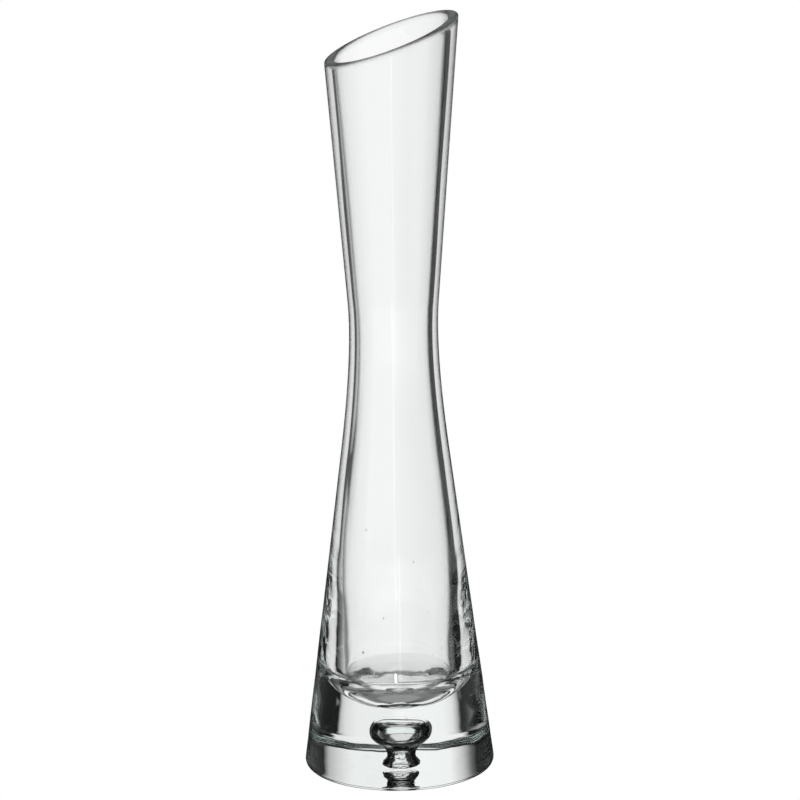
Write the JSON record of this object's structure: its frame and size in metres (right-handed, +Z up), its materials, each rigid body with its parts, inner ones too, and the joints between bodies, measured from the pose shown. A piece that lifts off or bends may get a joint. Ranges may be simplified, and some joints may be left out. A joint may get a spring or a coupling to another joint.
{
  "type": "glass bud vase",
  "caption": "Slender hourglass glass bud vase with a slanted rim, a blown chamber for a stem and water, and a heavy solid foot with a trapped air bubble.",
  "frame": {"origin": "centre of the foot's underside, on the table", "axes": "+Z up along the vase's axis; +X towards the highest point of the slanted rim; the vase is mirror symmetric about Y = 0"},
  "size_m": [0.0592, 0.059, 0.2401],
  "materials": {
    "clear_glass": "clear polished soda-lime glass with a faint green-grey tint; the slanted rim is ground and satin"
  },
  "bodies": {
    "root": {"blown_vessel": "clear_glass", "solid_foot": "clear_glass"}
  },
  "joints": []
}
